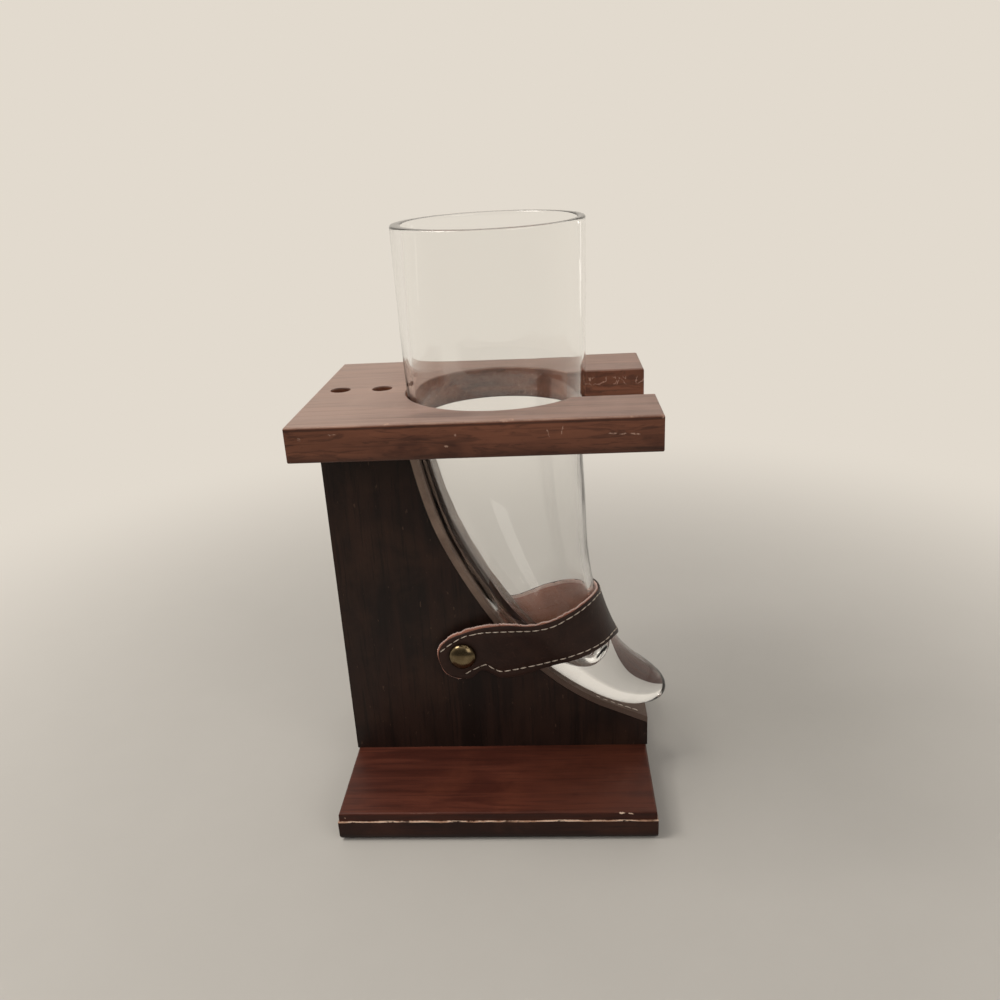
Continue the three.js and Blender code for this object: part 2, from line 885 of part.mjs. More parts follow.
['left', 'right'].forEach((name, i) => {
  const above = add(`plate_screw_${name}`, weld(screw().rotateX(Math.PI / 2)), steel);
  above.position.set(plateScrewX[i], plateScrewOff, plateScrewZ);
  const below = add(`base_screw_${name}`, weld(screw().rotateX(-Math.PI / 2)), steel);
  below.position.set(baseScrewX[i], 0, baseScrewZ);
});

add('strap_leather', movingOuter, strapLeather, strapGroup);
add('strap_lining', movingLining, suede, strapGroup);
add('strap_back_leather', fixedOuter, strapLeather, strapGroup);
add('strap_back_lining', fixedLining, suede, strapGroup);
add('snap_cap', weld(snapCap), agedBrass, strapGroup);
add('snap_socket', weld(snapSocket), agedBrass, strapGroup);
add('snap_stud', weld(snapStud), agedBrass, strapGroup);
add('back_nail', weld(rearNail), agedBrass, strapGroup);

export default group;
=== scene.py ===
import math

import bpy
import numpy as np
from mathutils import Matrix, Vector

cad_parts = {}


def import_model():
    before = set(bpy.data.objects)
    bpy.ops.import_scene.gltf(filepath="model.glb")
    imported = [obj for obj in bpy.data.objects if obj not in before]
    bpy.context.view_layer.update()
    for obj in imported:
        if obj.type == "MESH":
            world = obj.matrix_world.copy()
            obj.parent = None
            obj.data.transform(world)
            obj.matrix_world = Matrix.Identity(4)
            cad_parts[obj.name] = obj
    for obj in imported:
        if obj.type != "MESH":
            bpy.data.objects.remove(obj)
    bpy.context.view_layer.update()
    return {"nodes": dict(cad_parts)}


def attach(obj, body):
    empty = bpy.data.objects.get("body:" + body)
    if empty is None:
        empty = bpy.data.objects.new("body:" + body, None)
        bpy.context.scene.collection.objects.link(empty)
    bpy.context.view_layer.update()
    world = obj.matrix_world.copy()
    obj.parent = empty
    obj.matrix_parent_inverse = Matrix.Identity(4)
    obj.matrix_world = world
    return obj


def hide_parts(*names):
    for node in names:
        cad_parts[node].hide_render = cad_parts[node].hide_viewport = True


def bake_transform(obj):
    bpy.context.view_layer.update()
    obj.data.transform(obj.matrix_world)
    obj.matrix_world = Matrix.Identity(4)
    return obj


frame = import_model()
MM = 0.001

# Sizes shared with the solids, in millimetres: the stand, the horn with its radii, and the strap with its
# rises and widths by their distance along it

BOARD = 15.0
WIDTH = 148.0
TIP_RISE = 35.5
OFFSET = 6.7
STRAIGHT = 83.0
BEND = 154.8
LENGTH = STRAIGHT + BEND
LEAN = (56.7, -85.3, 91.2)
NOSE = 20.6
RIM_EDGE, RIM_RISE, RIM_SLOPE, RIM_FADE = 0.9, 0.5, 0.027, 30.0
MOUTH, UPPER, BODY, SHOULDER, WAIST = 40.6, 40.1, 38.9, 37.0, 33.9
AT_STRAP, THROAT, NECK, TIP = 27.6, 21.2, 15.7, 13.0
HOLLOW_END = STRAIGHT + 125.0
HOLLOW_NOSE = 10.0
SEAT_GAP = 0.3
STRAP_SLOPE = math.radians(14.5)
STRAP_STATION = 191.5
OUTER, LINING, LAYER_GAP = 1.0, 0.7, 0.3
STRAP_THICK = LINING + LAYER_GAP + OUTER
SLACK = 0.3
OVERHANG = 0.6
SNAP_REACH, SNAP_RISE = 48.95, 1.05
TAB = 11.85
END = SNAP_REACH + TAB
CORNER, EASE = SNAP_REACH - 11.0, 6.0
FRONT_FACE, REAR_FACE = 11.4, 7.8
FAR_WIDTH, GLASS_WIDTH, FLARE_WIDTH, TAB_WIDTH = 26.4, 24.4, 29.6, 24.2
FAR_RISE, TURN_RISE, GLASS_RISE, FLARE_RISE, TAB_RISE, BACK_RISE = -1.3, 1.95, 1.2, -1.3, -0.45, -4.4
TURN_RUN, GLASS_RUN, FLARE_RUN, TAB_RUN, BACK_RUN = 18.0, 36.0, 65.0, 85.0, 33.0
END_RUN = TAB_RUN + TAB
NOTCH_REACH, NOTCH_HALF, NOTCH_DEPTH = 42.0, 8.0, 4.3


# Camera, fitted to the photograph: its yaw, pitch and roll in radians, and its place in millimetres

CAMERA_TURNS = (0.0685348662, 0.370093052, -0.0544496328)
CAMERA_PLACE = (31.8295, -379.9448, 294.5804)
PHOTO_WIDTH, FOCAL_PIXELS, SENSOR = 1000.0, 879.73, 36.0


def camera():
    cy, sy, cp, sp, cr, sr = (f(a) for a in CAMERA_TURNS for f in (math.cos, math.sin))
    base = Matrix(((1, 0, 0), (0, 0, -1), (0, 1, 0)))
    turn = Matrix(((cy, -sy, 0), (sy, cy, 0), (0, 0, 1)))
    tilt = Matrix(((1, 0, 0), (0, cp, -sp), (0, sp, cp)))
    twist = Matrix(((cr, -sr, 0), (sr, cr, 0), (0, 0, 1)))
    right, down, ahead = twist @ tilt @ base @ turn.transposed()
    data = bpy.data.cameras.new("camera")
    data.sensor_width = SENSOR
    data.lens = FOCAL_PIXELS * SENSOR / PHOTO_WIDTH
    data.clip_start, data.clip_end = 0.01, 20.0
    cam = bpy.data.objects.new("camera", data)
    bpy.context.scene.collection.objects.link(cam)
    place = Matrix((right, -down, -ahead)).transposed().to_4x4()
    place.translation = Vector(CAMERA_PLACE) * MM
    cam.matrix_world = place
    bpy.context.scene.camera = cam


camera()


# Node materials

class Nodes:
    """The node tree of a material or a world, built with short calls."""

    def __init__(self, owner, output="ShaderNodeOutputMaterial"):
        self.owner = owner
        owner.use_nodes = True
        self.tree = owner.node_tree
        self.tree.nodes.clear()
        self.out = self.add(output)
        self.place = self.add("ShaderNodeTexCoord")
        self.coords = self.place.outputs["Object"]

    def add(self, kind, **values):
        node = self.tree.nodes.new(kind)
        for key, value in values.items():
            setattr(node, key, value)
        return node

    def put(self, value, socket):
        if isinstance(value, bpy.types.NodeSocket):
            self.tree.links.new(value, socket)
        else:
            socket.default_value = value

    def put_color(self, value, socket):
        self.put(value if isinstance(value, bpy.types.NodeSocket) else (*value, 1.0), socket)

    def scaled(self, x, y, z, degrees=0.0):
        """The object's coordinates, turned in the upright plane and then scaled."""
        node = self.add("ShaderNodeMapping")
        self.put(self.coords, node.inputs["Vector"])
        node.inputs["Rotation"].default_value = (0.0, math.radians(degrees), 0.0)
        node.inputs["Scale"].default_value = (x, y, z)
        return node.outputs["Vector"]

    def noise(self, vector, scale, detail, rough, distortion=0.0, output="Fac"):
        node = self.add("ShaderNodeTexNoise")
        self.put(vector, node.inputs["Vector"])
        node.inputs["Scale"].default_value = scale
        node.inputs["Detail"].default_value = detail
        node.inputs["Roughness"].default_value = rough
        node.inputs["Distortion"].default_value = distortion
        return node.outputs[output]

    def cells(self, scale):
        node = self.add("ShaderNodeTexVoronoi")
        self.put(self.coords, node.inputs["Vector"])
        node.inputs["Scale"].default_value = scale
        return node.outputs["Distance"]

    def math(self, operation, a, b=0.0):
        node = self.add("ShaderNodeMath", operation=operation)
        for value, socket in zip((a, b), node.inputs):
            self.put(value, socket)
        return node.outputs[0]

    def plus(self, a, b):
        return self.math("ADD", a, b)

    def times(self, a, b):
        return self.math("MULTIPLY", a, b)

    def most(self, first, *others):
        """The largest of several values."""
        for other in others:
            first = self.math("MAXIMUM", first, other)
        return first

    def apart(self, a, b):
        """The distance between two values."""
        return self.math("ABSOLUTE", self.math("SUBTRACT", a, b))

    def ramp(self, value, low, high, out_low=0.0, out_high=1.0, smooth=True):
        node = self.add("ShaderNodeMapRange", interpolation_type="SMOOTHSTEP" if smooth else "LINEAR")
        for key, v in zip(("Value", "From Min", "From Max", "To Min", "To Max"),
                          (value, low, high, out_low, out_high)):
            self.put(v, node.inputs[key])
        return node.outputs["Result"]

    def fall(self, value, low, high):
        return self.ramp(value, low, high, 1.0, 0.0)

    def between(self, value, rise, fall):
        """A share that rises over one pair of values and falls over another."""
        return self.times(self.ramp(value, *rise), self.fall(value, *fall))

    def mix(self, share, a, b):
        node = self.add("ShaderNodeMix", data_type="RGBA")
        self.put(share, node.inputs["Factor"])
        self.put_color(a, node.inputs[6])
        self.put_color(b, node.inputs[7])
        return node.outputs[2]

    def tint(self, color, other, where, share):
        """A colour with some of another one where a pattern is 1."""
        return self.mix(self.times(where, share), color, other)

    def xyz(self, vector=None):
        node = self.add("ShaderNodeSeparateXYZ")
        self.put(vector or self.coords, node.inputs[0])
        return node.outputs["X"], node.outputs["Y"], node.outputs["Z"]

    def bump(self, height, distance, strength):
        node = self.add("ShaderNodeBump")
        self.put(height, node.inputs["Height"])
        node.inputs["Distance"].default_value = distance
        node.inputs["Strength"].default_value = strength
        return node.outputs["Normal"]

    def shade(self, color, roughness, normal=None, **values):
        shader = self.add("ShaderNodeBsdfPrincipled")
        self.put_color(color, shader.inputs["Base Color"])
        self.put(roughness, shader.inputs["Roughness"])
        if normal is not None:
            self.put(normal, shader.inputs["Normal"])
        for key, value in values.items():
            self.put(value, shader.inputs[key.replace("_", " ")])
        self.put(shader.outputs[0], self.out.inputs["Surface"])
        return self.owner

    def overlay(self, share, plain, other):
        """Ends the tree in a mix of two shaders: the other one where the share is 1."""
        mixer = self.add("ShaderNodeMixShader")
        for value, socket in zip((share, plain, other), mixer.inputs):
            self.put(value, socket)
        self.put(mixer.outputs[0], self.out.inputs["Surface"])


def look(name):
    """A new material's nodes."""
    return Nodes(bpy.data.materials.new(name))


def rgb(*levels):
    """Linear colour of an sRGB colour in 0 to 255."""
    return tuple(c / 255 / 12.92 if c < 10.3 else ((c / 255 + 0.055) / 1.055) ** 2.4 for c in levels)


MARK_SWAY = 0.0011


def marks(n, spots):
    """Small worn marks: each is a place, a length and a width in millimetres, and a turn in degrees."""
    shift = n.noise(n.coords, 700.0, 3.0, 0.5, output="Color")
    sway = n.add("ShaderNodeVectorMath", operation="MULTIPLY_ADD")
    n.put(shift, sway.inputs[0])
    sway.inputs[1].default_value = (MARK_SWAY, 0.0, MARK_SWAY)
    sway.inputs[2].default_value = (-MARK_SWAY / 2, 0.0, -MARK_SWAY / 2)
    place = n.add("ShaderNodeVectorMath", operation="ADD")
    n.put(n.coords, place.inputs[0])
    n.put(sway.outputs[0], place.inputs[1])
    balls = []
    for x, y, z, length, width, turn in spots:
        at = n.add("ShaderNodeMapping", vector_type="TEXTURE")
        n.put(place.outputs[0], at.inputs["Vector"])
        at.inputs["Location"].default_value = (x * MM, y * MM, z * MM)
        at.inputs["Rotation"].default_value = (0.0, math.radians(turn), 0.0)
        at.inputs["Scale"].default_value = (length / 2 * MM, 2 * MM, width / 2 * MM)
        ball = n.add("ShaderNodeTexGradient", gradient_type="SPHERICAL")
        n.put(at.outputs[0], ball.inputs["Vector"])
        balls.append(ball.outputs["Fac"])
    return n.ramp(n.most(*balls), 0.05, 0.5)


def grain(n, stretch, wide, fine, sway=1.0):
    """Streaks of wood along the short axis of a stretch: slow ones, fine dark lines and broad clouds."""
    slow = n.noise(n.scaled(*stretch), wide, 3.0, 0.55, sway)
    lines = n.noise(n.scaled(*(1.6 * v if v > 1 else v * 0.6 for v in stretch)), fine, 3.0, 0.6, sway * 0.4)
    clouds = n.noise(n.coords, 26.0, 4.0, 0.6, 0.4)
    return slow, lines, clouds


def wood(n, color, gloss, slow, lines, bare, relief, depth, strength, specular):
    """Wood whose bare places are rougher and lower. Relief weighs its streaks, fine lines and bare places."""
    height = n.plus(n.times(slow, relief[0]), n.times(lines, relief[1]))
    if bare is not None:
        gloss = n.plus(gloss, n.times(bare, 0.3))
        height = n.math("SUBTRACT", height, n.times(bare, relief[2]))
    return n.shade(color, gloss, n.bump(height, depth, strength), Specular_IOR_Level=specular)


def base_look():
    n = look("base wood")
    x, y, z = n.xyz()
    slow, lines, clouds = grain(n, (1.0, 10.0, 10.0), 14.0, 55.0)
    top = n.mix(n.ramp(slow, 0.34, 0.66), rgb(68, 33, 25), rgb(90, 46, 34))
    top = n.tint(top, rgb(102, 54, 38), n.ramp(clouds, 0.42, 0.72), 0.6)
    top = n.tint(top, rgb(50, 24, 18), n.ramp(lines, 0.50, 0.66), 0.45)
    top = n.mix(n.ramp(x, 0.0, 0.035, 0.0, 0.3), top, rgb(52, 26, 18))
    side = n.mix(n.ramp(clouds, 0.35, 0.66), rgb(38, 17, 11), rgb(59, 31, 21))
    side = n.tint(side, rgb(22, 11, 9), n.ramp(lines, 0.52, 0.66), 0.5)
    side = n.mix(n.ramp(z, 0.0010, 0.0052, 0.75, 0.0), side, rgb(22, 14, 12))
    band = n.mix(n.ramp(slow, 0.35, 0.65), rgb(44, 18, 11), rgb(64, 29, 18))
    side = n.mix(n.ramp(z, 0.0104, 0.0110), side, band)
    color = n.mix(n.ramp(z, 0.0140, 0.0149), side, top)

    # The worn line along the front face, fainter at the ends
    flat = n.scaled(1, 1, 0)
    wander = n.noise(flat, 110.0, 5.0, 0.7)
    level = n.plus(0.0105, n.times(n.math("SUBTRACT", wander, 0.5), 0.0016))
    thick = n.ramp(n.noise(flat, 75.0, 5.0, 0.75), 0.30, 0.68, 0.00002, 0.00026)
    line = n.fall(n.apart(z, level), thick, n.plus(thick, 0.00014))
    front = n.fall(y, -0.0566, -0.0562)
    ends = n.times(n.ramp(n.math("ABSOLUTE", x), 0.0728, 0.0734), 0.55)
    patchy = n.ramp(n.noise(flat, 45.0, 4.0, 0.7), 0.36, 0.46)
    line = n.times(n.times(line, n.most(front, ends)), patchy)

    # Two worn stretches of the front arris
    arris = n.ramp(n.math("SUBTRACT", z, y), 0.07135, 0.0716)
    arris = n.times(arris, n.ramp(n.noise(n.scaled(1, 0.2, 0.2), 130.0, 4.0, 0.7), 0.50, 0.60))
    left = n.between(x, (-0.0445, -0.0420), (-0.0285, -0.0255))
    right = n.between(x, (0.0520, 0.0545), (0.0655, 0.0680))
    arris = n.times(arris, n.most(left, right))
    spots = marks(n, [(57.4, -56.6, 14.4, 3.6, 1.0, 0), (61.4, -56.7, 14.1, 3.0, 0.7, 8),
                      (-70.6, -57, 12.6, 1.2, 0.6, 30)])
    bare = n.most(line, n.times(arris, 0.8), spots)
    color = n.mix(bare, color, n.mix(n.ramp(wander, 0.4, 0.6), rgb(178, 138, 114), rgb(222, 196, 174)))
    gloss = n.ramp(slow, 0.3, 0.7, 0.38, 0.50, smooth=False)
    return wood(n, color, gloss, slow, lines, bare, (0.3, -0.5, 0.8), 0.00014, 0.6, 0.22)


def plate_look():
    n = look("plate wood")
    x, y, z = n.xyz()
    slow, lines, clouds = grain(n, (1.0, 11.0, 11.0), 12.0, 42.0, 0.8)
    # The top is painted paler and greyer than the front: a painted reflection of the bright surroundings in
    # its gloss
    top = n.mix(n.ramp(slow, 0.34, 0.66), rgb(112, 84, 74), rgb(145, 116, 104))
    top = n.tint(top, rgb(154, 124, 112), n.ramp(clouds, 0.40, 0.70), 0.5)
    fewer = n.ramp(x, -0.045, 0.005, 0.66, 0.26)
    top = n.tint(top, rgb(76, 50, 42), n.ramp(lines, 0.53, 0.64), fewer)
    # Paler still towards the left end: painted light from the lamp on the left
    top = n.mix(n.ramp(x, -0.055, -0.015, 0.5, 0.0), top, rgb(172, 145, 132))
    side = n.mix(n.ramp(clouds, 0.34, 0.60), rgb(82, 49, 37), rgb(112, 69, 51))
    side = n.mix(n.ramp(x, -0.065, -0.025, 0.5, 0.0), side, rgb(128, 80, 58))
    side = n.tint(side, rgb(130, 80, 58), n.ramp(slow, 0.46, 0.70), 0.7)
    flame = n.noise(n.scaled(3.0, 1.0, 16.0, 24.0), 20.0, 3.0, 0.6, 1.6)
    side = n.tint(side, rgb(50, 31, 26), n.ramp(flame, 0.50, 0.66), 0.45)
    side = n.tint(side, rgb(44, 28, 24), n.ramp(lines, 0.55, 0.68), 0.35)
    side = n.tint(side, rgb(46, 31, 26), n.fall(z, 0.1866, 0.1905), 0.6)
    color = n.mix(n.ramp(z, 0.2001, 0.2008), side, top)

    # The front arris: dark just below it, and worn along it
    front = n.fall(y, -0.0542, -0.0538)
    under = n.times(front, n.between(z, (0.1988, 0.1994), (0.1998, 0.2002)))
    color = n.tint(color, rgb(40, 25, 21), under, 0.6)
    edge = n.times(n.ramp(n.math("SUBTRACT", z, y), 0.25515, 0.2554), n.fall(y, -0.0538, -0.0530))
    patchy = n.noise(n.scaled(1, 0.2, 0.2), 90.0, 5.0, 0.7)
    edge = n.times(edge, n.ramp(patchy, 0.40, 0.62, 0.1, 0.75))
    spots = marks(n, [(54.0, -55, 194.3, 4.4, 0.9, 3), (58.2, -55, 194.0, 3.4, 0.7, -6),
                      (62.8, -55, 193.7, 4.6, 1.0, 4), (-54.8, -55, 197.4, 4.6, 0.7, 0),
                      (-67.9, -55, 195.9, 1.9, 1.3, 40), (-10.4, -55, 191.2, 2.4, 1.1, 10),
                      (-6.5, -55, 195.7, 1.2, 1.1, 0), (29.4, -55, 195.3, 4.2, 0.6, 72),
                      (34.8, -55, 196.0, 4.6, 0.5, 104), (12.6, -54.6, 200.7, 5.0, 1.4, 0),
                      (15.6, -54.5, 200.9, 3.0, 1.0, 0), (61.5, -54.6, 200.6, 2.4, 1.0, 0),
                      (73.2, -54.0, 200.2, 1.6, 2.2, 30), (-33.0, -54.6, 200.8, 2.6, 0.7, 0),
                      (-60.0, -54.8, 200.6, 1.6, 0.6, 0)])

    # Streaks on the slot's far wall, and grit on the wall of the hole
    inner = n.times(n.between(y, (0.010, 0.012), (0.0295, 0.0305)), n.ramp(x, 0.044, 0.047))
    middle = n.fall(n.apart(z, 0.1957), 0.0010, 0.0024)
    streaks = n.fall(n.apart(n.noise(n.coords, 170.0, 3.0, 0.6, 1.0), 0.5), 0.010, 0.030)
    streaks = n.times(n.times(streaks, middle), inner)
    scuff = n.ramp(n.noise(n.coords, 1300.0, 3.0, 0.6), 0.36, 0.62, 0.05, 0.75)
    grit = n.ramp(n.noise(n.coords, 900.0, 2.0, 0.5), 0.66, 0.72)
    ring = n.fall(n.plus(n.times(x, x), n.times(y, y)), 0.0019, 0.00215)
    grit = n.times(n.times(grit, ring), n.fall(z, 0.1996, 0.2002))
    bare = n.most(n.times(edge, 0.5), n.times(spots, scuff), n.times(streaks, 0.6), n.times(grit, 0.45))
    color = n.mix(bare, color, rgb(196, 160, 140))
    gloss = n.ramp(slow, 0.3, 0.7, 0.36, 0.46, smooth=False)
    return wood(n, color, gloss, slow, lines, bare, (0.4, -0.6, 0.7), 0.00014, 0.6, 0.36)


def upright_look():
    n = look("upright wood")
    z = n.xyz()[2]
    slow, lines, clouds = grain(n, (9.0, 9.0, 1.0), 11.0, 60.0, 0.6)
    color = n.mix(n.ramp(slow, 0.34, 0.66), rgb(30, 20, 17), rgb(46, 29, 23))
    color = n.tint(color, rgb(58, 38, 28), n.ramp(clouds, 0.46, 0.70), 0.55)
    color = n.tint(color, rgb(21, 15, 13), n.ramp(lines, 0.52, 0.66), 0.5)
    # Painted shadow of the plate: the upright is painted darker towards its top, just under the plate
    color = n.mix(n.ramp(z, 0.150, 0.186, 0.0, 0.55), color, rgb(26, 22, 20))
    specks = n.ramp(n.noise(n.scaled(1, 1, 0.35), 620.0, 2.0, 0.5), 0.70, 0.76)
    color = n.tint(color, rgb(96, 72, 58), specks, 0.35)
    gloss = n.ramp(slow, 0.3, 0.7, 0.44, 0.54, smooth=False)
    return wood(n, color, gloss, slow, lines, None, (0.4, -0.7), 0.00018, 0.7, 0.26)


base_wood = base_look()
plate_wood = plate_look()
upright_wood = upright_look()


def leather(name, dark, mid, light, rough, grain=850.0, depth=0.00005, fade=None, **values):
    """Grained leather, with a colour that it fades into towards its low end."""
    n = look(name)
    broad = n.noise(n.coords, 55.0, 4.0, 0.6)
    cells = n.cells(grain)
    crease = n.noise(n.coords, 240.0, 4.0, 0.7, 0.6)
    pores = n.ramp(n.noise(n.coords, 1100.0, 2.0, 0.5), 0.66, 0.74)
    color = n.mix(n.ramp(broad, 0.36, 0.66), dark, mid)
    color = n.tint(color, light, n.ramp(crease, 0.58, 0.72), 0.4)
    color = n.tint(color, tuple(v * 2.2 for v in light), pores, 0.18)
    if fade is not None:
        color = n.mix(n.ramp(n.xyz()[2], 0.050, 0.165, 0.8, 0.0), color, fade)
    height = n.plus(cells, n.times(crease, 0.9))
    gloss = n.ramp(broad, 0.3, 0.7, rough - 0.06, rough + 0.06, smooth=False)
    return n.shade(color, gloss, n.bump(height, depth, 0.6), **values)


strap_look = leather("strap leather", rgb(41, 27, 23), rgb(53, 35, 29), rgb(68, 46, 38), 0.46,
                     Specular_IOR_Level=0.2)
# The cradle leather is painted pale towards its top: painted light, standing for the lamps' light on it as
# seen through the glass. Lower down it fades to a darker brown
cradle_look = leather("cradle leather", rgb(120, 98, 86), rgb(146, 124, 110), rgb(168, 146, 132), 0.6,
                      700.0, 0.00007, fade=rgb(74, 56, 48), Specular_IOR_Level=0.4)


def suede_look(name, dark, mid, light, depth):
    n = look(name)
    fibres = n.noise(n.coords, 1500.0, 4.0, 0.7)
    broad = n.noise(n.coords, 90.0, 4.0, 0.65)
    stains = n.ramp(n.noise(n.coords, 150.0, 5.0, 0.75), 0.60, 0.68)
    color = n.mix(n.ramp(broad, 0.3, 0.7), dark, mid)
    color = n.tint(color, light, n.ramp(fibres, 0.45, 0.7), 0.5)
    color = n.tint(color, tuple(v * 0.5 for v in dark), stains, 0.35)
    return n.shade(color, 0.95, n.bump(fibres, depth, 0.9), Sheen_Weight=0.25, Sheen_Roughness=0.6)


suede = suede_look("suede", rgb(152, 92, 70), rgb(176, 114, 90), rgb(194, 138, 114), 0.0001)
raw_edge = suede_look("raw edge", rgb(186, 150, 140), rgb(216, 184, 172), rgb(238, 212, 200), 0.00018)


def thread_look():
    n = look("thread")
    twist = n.noise(n.coords, 2600.0, 2.0, 0.5)
    color = n.mix(n.ramp(twist, 0.35, 0.7), rgb(184, 168, 152), rgb(226, 212, 196))
    return n.shade(color, 0.8, n.bump(twist, 0.00006, 0.8))


thread = thread_look()


def metal_look(name, dark, mid, bright, rough):
    n = look(name)
    patina = n.noise(n.coords, 420.0, 5.0, 0.65)
    broad = n.noise(n.coords, 120.0, 3.0, 0.5)
    color = n.mix(n.ramp(broad, 0.34, 0.66), dark, mid)
    color = n.tint(color, bright, n.ramp(patina, 0.54, 0.70), 0.22)
    gloss = n.ramp(patina, 0.3, 0.7, rough + 0.06, rough - 0.04, smooth=False)
    return n.shade(color, gloss, n.bump(patina, 0.000008, 0.3), Metallic=1.0)


brass = metal_look("antique brass", rgb(104, 90, 66), rgb(138, 122, 94), rgb(172, 158, 130), 0.19)
steel = metal_look("screw steel", rgb(60, 50, 44), rgb(96, 84, 74), rgb(130, 118, 108), 0.4)


def glass_look():
    """Clear glass that lets the light of the lamps through, as a real thin wall nearly does."""
    n = look("horn glass")
    waves = n.noise(n.scaled(1, 1, 0.45), 42.0, 2.0, 0.4)
    streaks = n.noise(n.scaled(9, 9, 1), 12.0, 2.0, 0.5)
    height = n.plus(waves, n.times(streaks, 0.25))
    smear = n.noise(n.scaled(1, 1, 0.5), 60.0, 4.0, 0.7)
    gloss = n.ramp(smear, 0.45, 0.75, 0.0, 0.05)
    n.shade((0.982, 0.982, 0.976), gloss, n.bump(height, 0.0006, 0.3), IOR=1.5, Transmission_Weight=1.0)
    clear = n.add("ShaderNodeBsdfTransparent")
    clear.inputs["Color"].default_value = (0.93, 0.93, 0.92, 1.0)
    shadow = n.add("ShaderNodeLightPath").outputs["Is Shadow Ray"]
    n.overlay(shadow, n.out.inputs["Surface"].links[0].from_socket, clear.outputs[0])
    return n.owner


glass = glass_look()


# Meshes

def piece(name, verts, faces, material, smooth=True):
    data = bpy.data.meshes.new(name)
    data.from_pydata([tuple(v) for v in verts], [], faces)
    data.validate()
    data.materials.append(material)
    data.polygons.foreach_set("use_smooth", [smooth] * len(data.polygons))
    data.update()
    obj = bpy.data.objects.new(name, data)
    bpy.context.scene.collection.objects.link(obj)
    return obj


def outward(verts, faces):
    """The faces, turned over if they enclose a negative volume."""
    total = 0.0
    for f in faces:
        for i in range(1, len(f) - 1):
            total += np.dot(verts[f[0]], np.cross(verts[f[i]], verts[f[i + 1]]))
    return faces if total > 0 else [tuple(reversed(f)) for f in faces]


def skin(rows):
    """Faces between neighbouring closed rings of vertices. A ring that is a single point repeats it."""
    faces = []
    for a, b in zip(rows, rows[1:]):
        for k in range(len(a)):
            j = (k + 1) % len(a)
            faces.append(tuple(dict.fromkeys((a[k], b[k], b[j], a[j]))))
    return faces


CURVE_STEPS = 24


def stations(points):
    """A Catmull-Rom curve through stations, read by distance."""
    p = np.array(points, float)
    fine = []
    steps = len(p) * CURVE_STEPS
    for k in range(steps + 1):
        at = (len(p) - 1) * k / steps
        i = min(int(at), len(p) - 1)
        w = at - i
        p0, p1 = p[max(i - 1, 0)], p[i]
        p2, p3 = p[min(i + 1, len(p) - 1)], p[min(i + 2, len(p) - 1)]
        v0, v1 = (p2 - p0) / 2, (p3 - p1) / 2
        cubic, square = 2 * p1 - 2 * p2 + v0 + v1, -3 * p1 + 3 * p2 - 2 * v0 - v1
        fine.append(cubic * w ** 3 + square * w ** 2 + v0 * w + p1)
    fine = np.array(fine)
    return lambda s: float(np.interp(s, fine[:, 0], fine[:, 1]))


def lean(s):
    """The centreline's angle from the vertical at a distance from the rim."""
    t = max(s - STRAIGHT, 0.0) / BEND
    return math.radians(LEAN[0] * t + LEAN[1] * t * t + LEAN[2] * t ** 3)


LINE_STEP = 0.5
LINE = [(0.0, 0.0)]
while len(LINE) * LINE_STEP < LENGTH + NOSE + 1:
    side = lean((len(LINE) - 0.5) * LINE_STEP)
    LINE.append((LINE[-1][0] + LINE_STEP * math.sin(side), LINE[-1][1] - LINE_STEP * math.cos(side)))
LINE = np.array(LINE)


def from_rim(s):
    """The centreline's point at a distance from the rim, seen from the rim's middle."""
    at = np.arange(len(LINE)) * LINE_STEP
    return np.array([np.interp(s, at, LINE[:, 0]), np.interp(s, at, LINE[:, 1])])


RIM = BOARD + TIP_RISE - from_rim(LENGTH)[1]


def centre(s):
    """The centreline's point at a distance from the rim, in the frame's X and Z."""
    return from_rim(s) + np.array([OFFSET, RIM])


def along(share):
    """The distance from the rim at a share of the bend."""
    return STRAIGHT + share * BEND


half_straight = STRAIGHT / 2
outer_radius = stations([(0, MOUTH), (half_straight, UPPER), (along(0), BODY), (along(0.12), SHOULDER),
                         (along(0.3), WAIST), (along(0.5), AT_STRAP), (along(0.7), THROAT),
                         (along(0.88), NECK), (along(1), TIP)])
inner_radius = stations([(0, MOUTH - 4), (half_straight, UPPER - 2.6), (along(0), BODY - 2.5),
                         (along(0.12), SHOULDER - 2.9), (along(0.3), WAIST - 4), (along(0.5), AT_STRAP - 5),
                         (along(0.7), THROAT - 6.2), (HOLLOW_END, outer_radius(HOLLOW_END) - 8.8)])
inner_shift = stations([(0, 0.6), (along(0), 0.9), (along(0.5), 1.0), (HOLLOW_END, 1.9),
                        (HOLLOW_END + HOLLOW_NOSE, 1.9)])
ROUND = 0.5523  # how far a Bezier curve's handles reach for a quarter of a circle


def nose(start, length, radius, steps):
    """A rounded end from a distance on, as radii and distances."""
    r = radius(start)
    slope = (radius(start) - radius(start - 0.5)) / 0.5
    reach = ROUND * length
    tip = start + length
    p = np.array([(r, start), (r + slope * reach, start + reach), (ROUND * r, tip), (0, tip)])
    out = []
    for i in range(steps + 1):
        t = i / steps
        w = np.array([(1 - t) ** 3, 3 * t * (1 - t) ** 2, 3 * t * t * (1 - t), t ** 3])
        out.append(tuple(w @ p))
    return out


